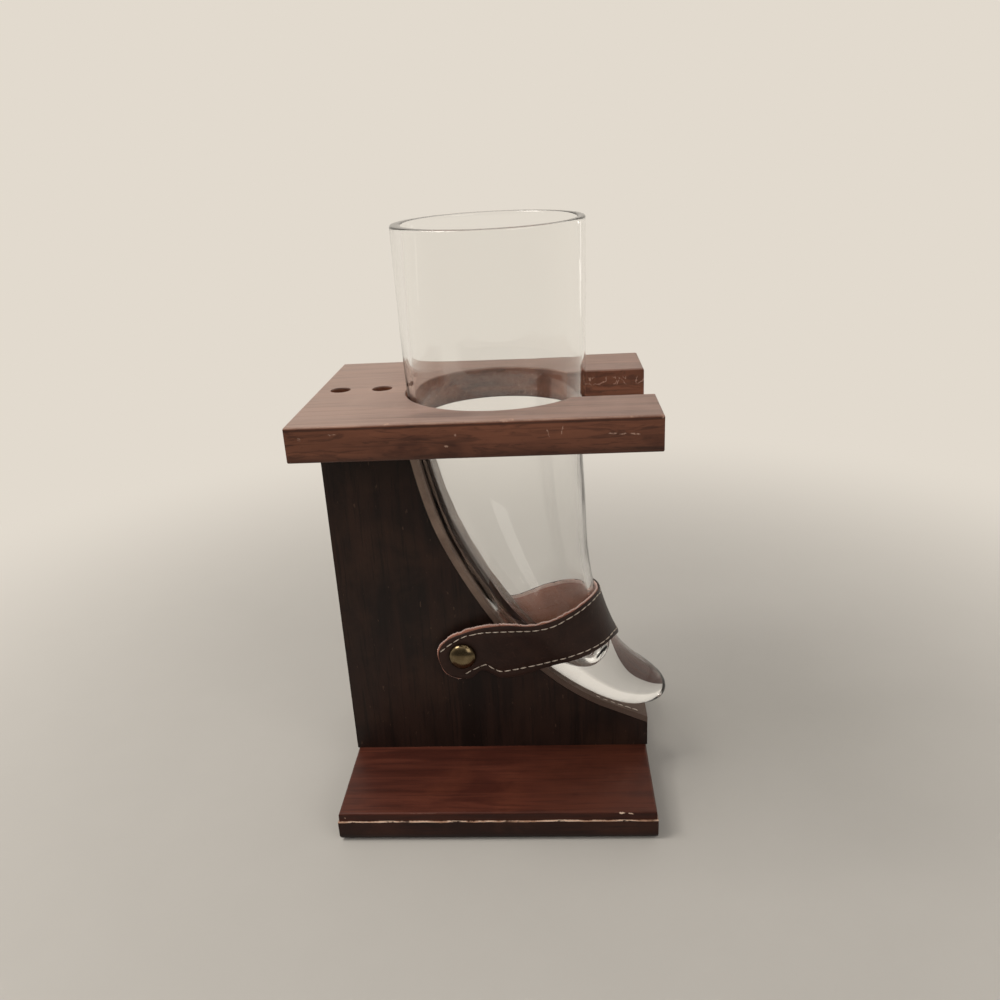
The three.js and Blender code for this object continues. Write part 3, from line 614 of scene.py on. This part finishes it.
def horn():
    """The glass: outside, rounded rim and hollow as one closed surface."""
    turns = 144
    outside = [(outer_radius(s), s) for s in np.linspace(RIM_EDGE, LENGTH, 150)]
    outside = (outside + nose(LENGTH, NOSE, outer_radius, 24)[1:])[::-1]
    inside = [(inner_radius(s), s) for s in np.linspace(RIM_EDGE, HOLLOW_END, 130)]
    inside += nose(HOLLOW_END, HOLLOW_NOSE, inner_radius, 20)[1:]
    outer_corner, inner_corner = outside[-1][0], inside[0][0]
    for turn in np.radians([15, 30, 45, 60, 75, 90]):
        across, down = RIM_EDGE * (1 - math.cos(turn)), RIM_EDGE * (1 - math.sin(turn))
        outside.append((outer_corner - across, down))
        inside.insert(0, (inner_corner + across, down))
    verts, rows = [], []
    for i, (r, s) in enumerate(outside + inside):
        c, tilt = centre(s), lean(s)
        shift = inner_shift(s) if i >= len(outside) else 0.0
        count = 1 if r < 1e-6 else turns
        rows.append([len(verts) + k % count for k in range(turns)])
        for k in range(count):
            a = 2 * math.pi * k / turns
            off, y = r * math.cos(a) + shift, r * math.sin(a)
            rise = (RIM_RISE + RIM_SLOPE * y) * max(0.0, 1 - s / RIM_FADE) ** 2
            verts.append((c[0] + off * math.cos(tilt), y, c[1] + off * math.sin(tilt) + rise))
    verts = np.array(verts) * MM
    return piece("horn_glass", verts, outward(verts, skin(rows)), glass)


horn_glass = horn()
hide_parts("glass_horn")
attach(horn_glass, "horn")


# The strap, in a frame with X along its slope, Y across the stand and Z across its width

STRAP_AT = centre(STRAP_STATION)


def to_world(points):
    """Points of the strap frame, in metres in the shared frame."""
    p = np.asarray(points, float)
    c, s = math.cos(STRAP_SLOPE), math.sin(STRAP_SLOPE)
    x = STRAP_AT[0] + p[..., 0] * c - p[..., 2] * s
    z = STRAP_AT[1] + p[..., 0] * s + p[..., 2] * c
    return np.stack([x, p[..., 1], z], -1) * MM


def to_strap(x, z):
    dx, dz = x - STRAP_AT[0], z - STRAP_AT[1]
    c, s = math.cos(STRAP_SLOPE), math.sin(STRAP_SLOPE)
    return dx * c + dz * s, -dx * s + dz * c


def flank(s, turn):
    """Where the horn's outside is at a distance from the rim and a turn, in the strap frame's X and Z."""
    off, c = outer_radius(s) * math.cos(turn), centre(s)
    return to_strap(c[0] + off * math.cos(lean(s)), c[1] + off * math.sin(lean(s)))


def girth(level):
    """Middle and radius of a circle round the horn where the strap's plane at a level cuts it."""
    cuts = []
    turns, halvings = 24, 30
    for i in range(turns):
        turn = 2 * math.pi * i / turns
        low, high = half_straight, LENGTH
        for _ in range(halvings):
            s = (low + high) / 2
            if flank(s, turn)[1] > level:
                low = s
            else:
                high = s
        cuts.append((flank(low, turn)[0], outer_radius(low) * math.sin(turn)))
    xs = [p[0] for p in cuts]
    middle = (min(xs) + max(xs)) / 2
    return middle, max(math.hypot(x - middle, y) for x, y in cuts)


# The leather follows the horn's own girth, mixed with a straight cone between its lowest and highest level

CONE_SHARE = 0.15
LEVELS = [-17.0, -12.0, -6.0, 0.0, 8.0, 15.0]
GIRTHS = [girth(level) for level in LEVELS]
middle_at = stations([(level, g[0]) for level, g in zip(LEVELS, GIRTHS)])
radius_at = stations([(level, g[1]) for level, g in zip(LEVELS, GIRTHS)])
CIRCLES = {}


def wrap_circle(level):
    """Middle and radius of the leather's inner face round the horn at a level."""
    key = round(level, 2)
    if key not in CIRCLES:
        share = (key - LEVELS[0]) / (LEVELS[-1] - LEVELS[0])
        cone = [GIRTHS[0][k] + (GIRTHS[-1][k] - GIRTHS[0][k]) * share for k in (0, 1)]
        own = 1 - CONE_SHARE
        CIRCLES[key] = (own * middle_at(key) + CONE_SHARE * cone[0],
                        own * radius_at(key) + CONE_SHARE * cone[1] + SLACK)
    return CIRCLES[key]


# Columns along one side of the strap: the flat end, the eased corner, the free run, and round the horn. The
# strap's fixed part begins at the bend column of its back

FLAT_COLUMNS, EASE_COLUMNS, RUN_COLUMNS, WRAP_COLUMNS = 46, 20, 50, 88
COLUMNS = [("flat", (i / FLAT_COLUMNS) ** 1.35) for i in range(FLAT_COLUMNS)]
COLUMNS += [("ease", i / EASE_COLUMNS) for i in range(EASE_COLUMNS)]
COLUMNS += [("run", i / RUN_COLUMNS) for i in range(RUN_COLUMNS)]
COLUMNS += [("wrap", i / WRAP_COLUMNS) for i in range(WRAP_COLUMNS + 1)]
LAST = len(COLUMNS) - 1
BEND_COLUMN = LAST - 66


def side_point(side, column, level):
    """A point of the inner face, and the direction away from the horn, in the strap frame's X and Y."""
    face = FRONT_FACE if side < 0 else REAR_FACE
    kind, t = COLUMNS[column]
    middle, radius = wrap_circle(level)
    away = np.array([middle + CORNER, -face])
    dist = math.hypot(*away)
    swing = math.asin(radius / dist) + math.atan2(away[1], away[0])
    ahead = np.array([math.cos(swing), math.sin(swing)])
    corner = np.array([-CORNER, face])
    start = corner - np.array([EASE, 0.0])
    if kind == "flat":
        return np.array([-END + t * (start[0] + END), face]), np.array([0.0, 1.0])
    if kind == "ease":
        out = (1 - t) * np.array([0.0, 1.0]) + t * np.array([-ahead[1], ahead[0]])
        p = start * (1 - t) ** 2 + corner * 2 * t * (1 - t) + (corner + ahead * EASE) * t * t
        return p, out / math.hypot(*out)
    tangent = corner + ahead * math.sqrt(dist ** 2 - radius ** 2)
    if kind == "run":
        end = corner + ahead * EASE
        return end + (tangent - end) * t, np.array([-ahead[1], ahead[0]])
    turn = math.atan2(tangent[1], tangent[0] - middle) * (1 - t)
    out = np.array([math.cos(turn), math.sin(turn)])
    return np.array([middle, 0.0]) + radius * out, out


def strap_point(side, column, level, depth):
    """A point of the strap's side (-1 front, 1 back) at a column, a level and a depth from its inner face."""
    p, out = side_point(side, column, level)
    p = p + out * depth
    return np.array([p[0], side * p[1], level])


def runs(side):
    """Each column's distance from the horn's far side along the strap's middle, and from the strap's end."""
    line = np.array([side_point(side, i, 0.0)[0] for i in range(LAST + 1)])
    steps = np.linalg.norm(np.diff(line, axis=0), axis=1)
    return np.concatenate([np.cumsum(steps[::-1])[::-1], [0.0]]), line[:, 0] + END


RUNS = {-1: runs(-1), 1: runs(1)}
middle_run = (GLASS_RUN + FLARE_RUN) / 2
front_rise = stations([(0, FAR_RISE), (TURN_RUN / 2, 0.25 * FAR_RISE + 0.75 * TURN_RISE),
                       (TURN_RUN, TURN_RISE), (GLASS_RUN, GLASS_RISE),
                       (middle_run, (GLASS_RISE + FLARE_RISE) / 2 + 0.6),
                       (FLARE_RUN, FLARE_RISE), (TAB_RUN, TAB_RISE), (END_RUN, TAB_RISE)])
back_rise = stations([(0, FAR_RISE), (BACK_RUN / 3, FAR_RISE - 0.5), (BACK_RUN, BACK_RISE),
                      (2 * BACK_RUN, BACK_RISE), (END_RUN, BACK_RISE)])
width_at = stations([(0, FAR_WIDTH), (GLASS_RUN, GLASS_WIDTH),
                     (middle_run, (GLASS_WIDTH + FLARE_WIDTH) / 2 + 0.3),
                     (FLARE_RUN, FLARE_WIDTH), (TAB_RUN, TAB_WIDTH), (END_RUN, TAB_WIDTH)])

# Levels of the two seams along the front: the lower one jumps up at the thumb notch and ends before the snap

top_seam_at = stations([(0, 10.3), (4, 11.1), (8, 12.4), (17, 12.8), (25, 12.1), (33, 10.9), (50, 10.9),
                        (66, 10.8), (76, 10.5), (81, 10.4), (85, 9.4), (90, 7.6), (94, 5.6), (97, 3.4)])
low_seam_at = stations([(0, -12.2), (4, -10.8), (8, -9.7), (17, -8.9), (25, -8.3), (33, -8.1), (42, -8.9),
                        (50, -10.3), (58, -11.4), (66, -12.1), (69, -11.8), (71, -10.6), (73, -8.6),
                        (74.5, -7.1), (76.5, -6.9), (79.5, -7.5), (84, -8.6), (87.5, -9.2), (97, -9.2)])
LOW_SEAM_END = 87.2
SEAM_MARGIN, SEAM_INSET, SEAM_MERGE = 1.2, 2.1, 12.0
END_SHARE = 0.16


def edges_at(side, column):
    """Upper edge, lower edge and the two seams at a column."""
    run, from_end = RUNS[side][0][column], RUNS[side][1][column]
    front = side < 0
    middle = front_rise(run) if front else back_rise(run)
    half = (width_at(run) if front else FAR_WIDTH) / 2
    near_end = min(max(from_end, 0.0) / (TAB_WIDTH / 2), 1.0)
    half *= END_SHARE + (1 - END_SHARE) * math.sqrt(1 - (1 - near_end) ** 2)
    inside = max(0.0, 1 - abs(from_end - (END - NOTCH_REACH)) / NOTCH_HALF) if front else 0.0
    up, down = middle + half, middle - half + NOTCH_DEPTH * inside * inside * (3 - 2 * inside)
    share = max(0.0, 1 - run / SEAM_MERGE)
    high = top_seam_at(run) if front else (up - SEAM_INSET) * (1 - share) + top_seam_at(0) * share
    low = low_seam_at(run) if front else (down + SEAM_INSET) * (1 - share) + low_seam_at(0) * share
    return up, down, min(high, up - SEAM_MARGIN), max(low, down + SEAM_MARGIN)


# (side, column) pairs from the tab round the horn to the bend at the back, and on to the fixed end

MOVING = [(-1, i) for i in range(LAST + 1)] + [(1, i) for i in range(LAST - 1, BEND_COLUMN - 1, -1)]
FIXED = [(1, i) for i in range(BEND_COLUMN, -1, -1)]


def ragged(rng, count, size):
    """A rough edge, whose neighbouring values partly follow one another."""
    raw = rng.normal(0, 1, count + 8)
    soft = np.convolve(raw, np.ones(5) / 5 ** 0.5, mode="same")
    return size * (0.8 * raw + 0.35 * soft)[4:4 + count]


GROOVE_HALF, GROOVE_DEPTH, SWELL = 0.55, 0.22, 0.10
SEWN_ROUNDING, RAW_ROUNDING = 0.5, 0.3


def rounded(edge, rounding, mid, thick, way):
    """Levels and depths of a long edge: way is 1 where it is the upper one."""
    for i in range(1, 4):
        a = way * math.pi / 2 * (1 - i / 2)
        yield edge + way * rounding * (math.cos(a) - 1), mid + thick / 2 * math.sin(a)


def strap_layer(name, columns, low, high, material, edge_material=None, over=None, rough=0.0):
    """A closed leather layer between two depths: grooved at its seams, rounded at its long edges."""
    rng = np.random.default_rng(11)
    jag_up, jag_down = ragged(rng, len(columns), rough), ragged(rng, len(columns), rough * 0.6)
    seams = edge_material is None
    rounding = SEWN_ROUNDING if seams else RAW_ROUNDING
    mid, thick = (low + high) / 2, high - low
    loops = []
    for n, (side, column) in enumerate(columns):
        up, down, high_seam, low_seam = edges_at(side, column)
        reach = 0.0
        run, from_end = RUNS[side][0][column], RUNS[side][1][column]
        if over is not None:
            more_up, more_down = over(side, run)
            up, down = up + more_up + jag_up[n], down - more_down - jag_down[n]
            if side < 0:
                reach = 0.4 * max(0.0, 1 - from_end / 7.0) + 0.3 * abs(jag_up[n]) * (from_end < 3.0)
        top, bottom = up - rounding, down + rounding
        stops = [bottom, (bottom + low_seam) / 2, low_seam - GROOVE_HALF, low_seam, low_seam + GROOVE_HALF]
        stops += list(np.linspace(low_seam + GROOVE_HALF, high_seam - GROOVE_HALF, 8)[1:-1])
        stops += [high_seam - GROOVE_HALF, high_seam, high_seam + GROOVE_HALF, (top + high_seam) / 2, top]
        low_groove, high_groove = 3, len(stops) - 4
        loop = []
        for k, level in enumerate(stops):
            depth = high
            if seams:
                sewn = k == high_groove or (k == low_groove and (side > 0 or run < LOW_SEAM_END))
                across = min(max((level - low_seam) / (high_seam - low_seam), 0), 1)
                depth = high + SWELL * math.sin(math.pi * across) - (GROOVE_DEPTH if sewn else 0.0)
            loop.append((level, depth))
        loop += rounded(up, rounding, mid, thick, 1)
        loop += [(level, low) for level in stops[::-1][1:-1]]
        loop += rounded(down, rounding, mid, thick, -1)
        shift = np.array([reach, 0, 0])
        loops.append([strap_point(side, column, level, depth) - shift for level, depth in loop])
    count = len(loops[0])
    rows = len(stops)
    verts = to_world(np.array(loops).reshape(-1, 3))
    faces, looks = [], []
    for i in range(len(loops) - 1):
        for k in range(count):
            j = (k + 1) % count
            faces.append((i * count + k, i * count + j, (i + 1) * count + j, (i + 1) * count + k))
            looks.append(1 if rows - 1 <= k < rows + 3 or k >= 2 * rows else 0)
    faces.append(tuple(range(count - 1, -1, -1)))
    faces.append(tuple(range((len(loops) - 1) * count, len(loops) * count)))
    looks += [1, 1]
    obj = piece(name, verts, outward(verts, faces), material)
    if edge_material is not None:
        obj.data.materials.append(edge_material)
        obj.data.polygons.foreach_set("material_index", looks)
    return obj


def lining_over(side, run):
    """How far the lining stands past the leather above and below: more of it at the tab."""
    if side > 0:
        return 0.15, 0.1
    tab, end = np.interp(run, (48, 78), (0, 1)), np.interp(run, (82, 90), (0, 1))
    return OVERHANG + 0.65 * tab - 0.4 * end, -0.25 + 1.1 * end


strap_outer = strap_layer("strap_outer", MOVING, LINING + LAYER_GAP, STRAP_THICK, strap_look)
strap_inner = strap_layer("strap_inner", MOVING, 0, LINING + LAYER_GAP, suede, raw_edge, lining_over, 0.22)
back_outer = strap_layer("back_outer", FIXED, LINING + LAYER_GAP, STRAP_THICK, strap_look)
back_inner = strap_layer("back_inner", FIXED, 0, LINING + LAYER_GAP, suede, raw_edge, lining_over, 0.12)


def seam_line(columns, top):
    """Points and outward directions of a seam along the strap, at its outer face."""
    points, outs = [], []
    for side, column in columns:
        run, from_end = RUNS[side][0][column], RUNS[side][1][column]
        high_seam, low_seam = edges_at(side, column)[2:]
        level = high_seam if top else low_seam
        if side > 0:
            skipped = from_end < 2.0
        elif top:
            skipped = from_end < 0.8 or abs(level - top_seam_at(run)) > 0.3
        else:
            skipped = run > LOW_SEAM_END or abs(level - low_seam_at(run)) > 0.3
        if skipped:
            continue
        a = strap_point(side, column, level, STRAP_THICK - 0.1)
        points.append(a)
        outs.append(a - strap_point(side, column, level, STRAP_THICK - 1))
    return np.array(points), np.array(outs)


FIRST_STITCH, STITCH_RISE, STITCH_SINK, STITCH_END = 0.8, 0.2, 0.16, 0.35


def stitches(name, lines, pitch=4.25, length=3.6, wide=0.27, tall=0.24, place=to_world, seed=3):
    """Thread along seams: each stitch is a thin closed body that rises from the leather and dips back."""
    rng = np.random.default_rng(seed)
    verts, faces = [], []
    rings, around = 8, 8
    for points, outs in lines:
        steps = np.linalg.norm(np.diff(points, axis=0), axis=1)
        dist = np.concatenate([[0], np.cumsum(steps)])

        def read(table, d):
            return np.array([np.interp(d, dist, table[:, k]) for k in range(3)])

        at = FIRST_STITCH
        while at + length < dist[-1]:
            first = len(verts)
            skew, reach = rng.normal(0, 0.06), length * (1 + rng.normal(0, 0.05))
            for r in range(rings + 1):
                t = r / rings
                d = min(at + t * reach, dist[-1])
                c, o = read(points, d), read(outs, d)
                e = read(points, min(d + 0.2, dist[-1])) - read(points, max(d - 0.2, 0.0))
                e /= np.linalg.norm(e)
                o /= np.linalg.norm(o)
                lateral = np.cross(e, o)
                swell = STITCH_END + (1 - STITCH_END) * math.sin(math.pi * t) ** 0.5
                c = c + o * (STITCH_RISE * math.sin(math.pi * t) - STITCH_SINK)
                c = c + lateral * skew * (2 * t - 1)
                for k in range(around):
                    a = 2 * math.pi * k / around
                    verts.append(c + lateral * wide * swell * math.cos(a) + o * tall * swell * math.sin(a))
            for r in range(rings):
                for k in range(around):
                    j = (k + 1) % around
                    faces.append((first + r * around + k, first + r * around + j,
                                  first + (r + 1) * around + j, first + (r + 1) * around + k))
            faces.append(tuple(first + k for k in range(around - 1, -1, -1)))
            faces.append(tuple(first + rings * around + k for k in range(around)))
            at += pitch
    verts = place(np.array(verts))
    return piece(name, verts, outward(verts, faces), thread)


strap_stitches = stitches("strap_stitches", [seam_line(MOVING, True), seam_line(MOVING, False)])
back_stitches = stitches("back_stitches", [seam_line(FIXED, True), seam_line(FIXED, False)])


CRADLE_SEAM = 5.6


def cradle_seam(y):
    """A seam at the right end of the cradle's upper face, where the leather is turned under and sewn."""
    points, outs = [], []
    for s in np.linspace(LENGTH - 9.0, LENGTH, 20):
        c, tilt = centre(s), lean(s)
        reach = outer_radius(s) + SEAT_GAP
        points.append((c[0] - reach * math.cos(tilt), y, c[1] - reach * math.sin(tilt)))
        outs.append((math.cos(tilt), 0.0, math.sin(tilt)))
    last, before = np.array(points[-1]), np.array(points[-3])
    slope = (last[2] - before[2]) / (last[0] - before[0])
    for x in np.linspace(last[0], WIDTH / 2 - 1.2, 10)[1:]:
        points.append((x, y, last[2] + slope * (x - last[0])))
        outs.append(outs[-1])
    return np.array(points), np.array(outs)


cradle_stitches = stitches("cradle_stitches", [cradle_seam(-CRADLE_SEAM), cradle_seam(CRADLE_SEAM)],
                           4.0, 3.2, 0.25, 0.2, lambda p: np.asarray(p) * MM, 5)
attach(cradle_stitches, "stand")


CAP_RADIUS, CAP_RIM, CAP_HEIGHT, CAP_EDGE = 6.7, 0.8, 4.2, 0.06


def domed(name, node, body, side, level, stem, stem_radius, base):
    """A domed cap on its stem, square to the upright: stem and base are distances from its middle plane."""
    turns, steps = 64, 24
    dome_radius, dome_base, dome_height = CAP_RADIUS - CAP_EDGE, base + CAP_RIM, CAP_HEIGHT - CAP_RIM
    profile = [(0.0, stem), (stem_radius, stem), (stem_radius, base), (CAP_RADIUS - CAP_RIM, base),
               (CAP_RADIUS - 0.2, base + 0.1), (CAP_RADIUS, base + CAP_RIM / 2), (dome_radius, dome_base)]
    for i in range(1, steps):
        a = math.pi / 2 * i / steps
        profile.append((dome_radius * math.cos(a), dome_base + dome_height * math.sin(a)))
    profile.append((0.0, base + CAP_HEIGHT))
    verts, rows = [], []
    for r, h in profile:
        count = 1 if r < 1e-6 else turns
        rows.append([len(verts) + k % count for k in range(turns)])
        for k in range(count):
            a = 2 * math.pi * k / turns
            verts.append((r * math.cos(a) - SNAP_REACH, side * h, r * math.sin(a) + level))
    verts = to_world(np.array(verts))
    cap = piece(name, verts, outward(verts, skin(rows)), brass)
    cap.data.set_sharp_from_angle(angle=math.radians(50))
    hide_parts(node)
    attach(cap, body)


CAP_BASE = STRAP_THICK + LAYER_GAP
domed("cap_dome", "snap_cap", "strap", -1, SNAP_RISE, FRONT_FACE, 1.6, FRONT_FACE + CAP_BASE)
domed("nail_dome", "back_nail", "stand", 1, BACK_RISE, 1.3, 1.5, REAR_FACE + CAP_BASE)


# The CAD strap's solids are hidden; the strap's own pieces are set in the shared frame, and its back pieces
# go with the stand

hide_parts("strap_leather")
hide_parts("strap_lining")
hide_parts("strap_back_leather")
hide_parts("strap_back_lining")
for obj in (strap_outer, strap_inner, strap_stitches):
    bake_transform(obj)
for obj in (back_outer, back_inner, back_stitches):
    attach(obj, "stand")


# Materials of the solids that stay

def finish_node(name, material, smooth_angle):
    obj = frame["nodes"][name]
    obj.data.materials.clear()
    obj.data.materials.append(material)
    obj.data.polygons.foreach_set("use_smooth", [True] * len(obj.data.polygons))
    obj.data.set_sharp_from_angle(angle=math.radians(smooth_angle))


finish_node("base_board", base_wood, 40)
finish_node("top_plate", plate_wood, 40)
finish_node("upright_board", upright_wood, 30)
finish_node("cradle_leather", cradle_look, 30)
for node in ("snap_socket", "snap_stud"):
    finish_node(node, brass, 35)
for node in ("plate_screw_left", "plate_screw_right", "base_screw_left", "base_screw_right"):
    finish_node(node, steel, 35)


# Floor, world and lamps

CREAM = (*rgb(226, 218, 206), 1.0)
DARK_SIDE = 0.14
FLOOR_SIZE, FLOOR_DROP = 6.0, 0.0002


def background(n, kind, toward):
    """The cream background as the camera, glass and metal meet it, and the share of rays that meet it.

    For metal and gloss it is darker where a direction points to the camera's side."""
    seen = n.add(kind)
    seen.inputs["Color"].default_value = CREAM
    path = n.add("ShaderNodeLightPath")
    plain = n.most(path.outputs["Is Camera Ray"], path.outputs["Is Transmission Ray"])
    n.put(n.most(plain, n.ramp(toward, -0.7, 0.5, DARK_SIDE, 1.0)), seen.inputs["Strength"])
    return seen.outputs[0], n.most(plain, path.outputs["Is Glossy Ray"])


def floor():
    """A pale floor that keeps the object's shadow and runs into the background without a horizon."""
    n = look("floor")
    x, y = n.xyz()[:2]
    far = n.math("SQRT", n.plus(n.times(x, x), n.times(y, y)))
    paper = n.noise(n.coords, 30.0, 4.0, 0.6)
    n.shade(n.mix(paper, rgb(190, 186, 180), rgb(194, 190, 184)), 0.75, Specular_IOR_Level=0.15)
    seen, rays = background(n, "ShaderNodeEmission", n.math("DIVIDE", y, n.most(far, 0.01)))
    n.overlay(n.times(rays, n.ramp(far, 0.17, 0.60)), n.out.inputs["Surface"].links[0].from_socket, seen)
    corners = ((-1, -1), (1, -1), (1, 1), (-1, 1))
    verts = [(FLOOR_SIZE * a, FLOOR_SIZE * b, 0) for a, b in corners]
    obj = piece("floor", verts, [(0, 1, 2, 3)], n.owner, smooth=False)
    obj.location.z = -FLOOR_DROP


def world():
    n = Nodes(bpy.data.worlds.new("world"), "ShaderNodeOutputWorld")
    bpy.context.scene.world = n.owner
    light = n.add("ShaderNodeBackground")
    light.inputs["Color"].default_value = (1.0, 0.97, 0.93, 1.0)
    light.inputs["Strength"].default_value = 0.45
    y, z = n.xyz(n.place.outputs["Generated"])[1:]
    seen, rays = background(n, "ShaderNodeBackground", n.plus(y, n.times(z, 0.6)))
    n.overlay(rays, light.outputs[0], seen)


floor()
world()


def lamp(name, place, aim, size, power):
    data = bpy.data.lights.new(name, "AREA")
    data.shape = "RECTANGLE"
    data.size, data.size_y = size
    data.energy = power
    data.color = (1.0, 0.96, 0.9)
    obj = bpy.data.objects.new(name, data)
    bpy.context.scene.collection.objects.link(obj)
    obj.location = place
    obj.rotation_mode = "QUATERNION"
    obj.rotation_quaternion = (Vector(aim) - Vector(place)).to_track_quat("-Z", "Y")
    obj.visible_camera = False


lamp("key", (-0.60, -0.15, 1.0), (0.0, 0.0, 0.1), (0.5, 0.5), 7.0)
lamp("fill", (0.7, -0.8, 0.6), (0.0, 0.0, 0.1), (0.6, 0.6), 2.0)
lamp("tip", (0.53, 0.57, 0.19), (0.06, 0.0, 0.06), (0.05, 0.10), 0.012)

bpy.context.scene.view_settings.view_transform = "Standard"
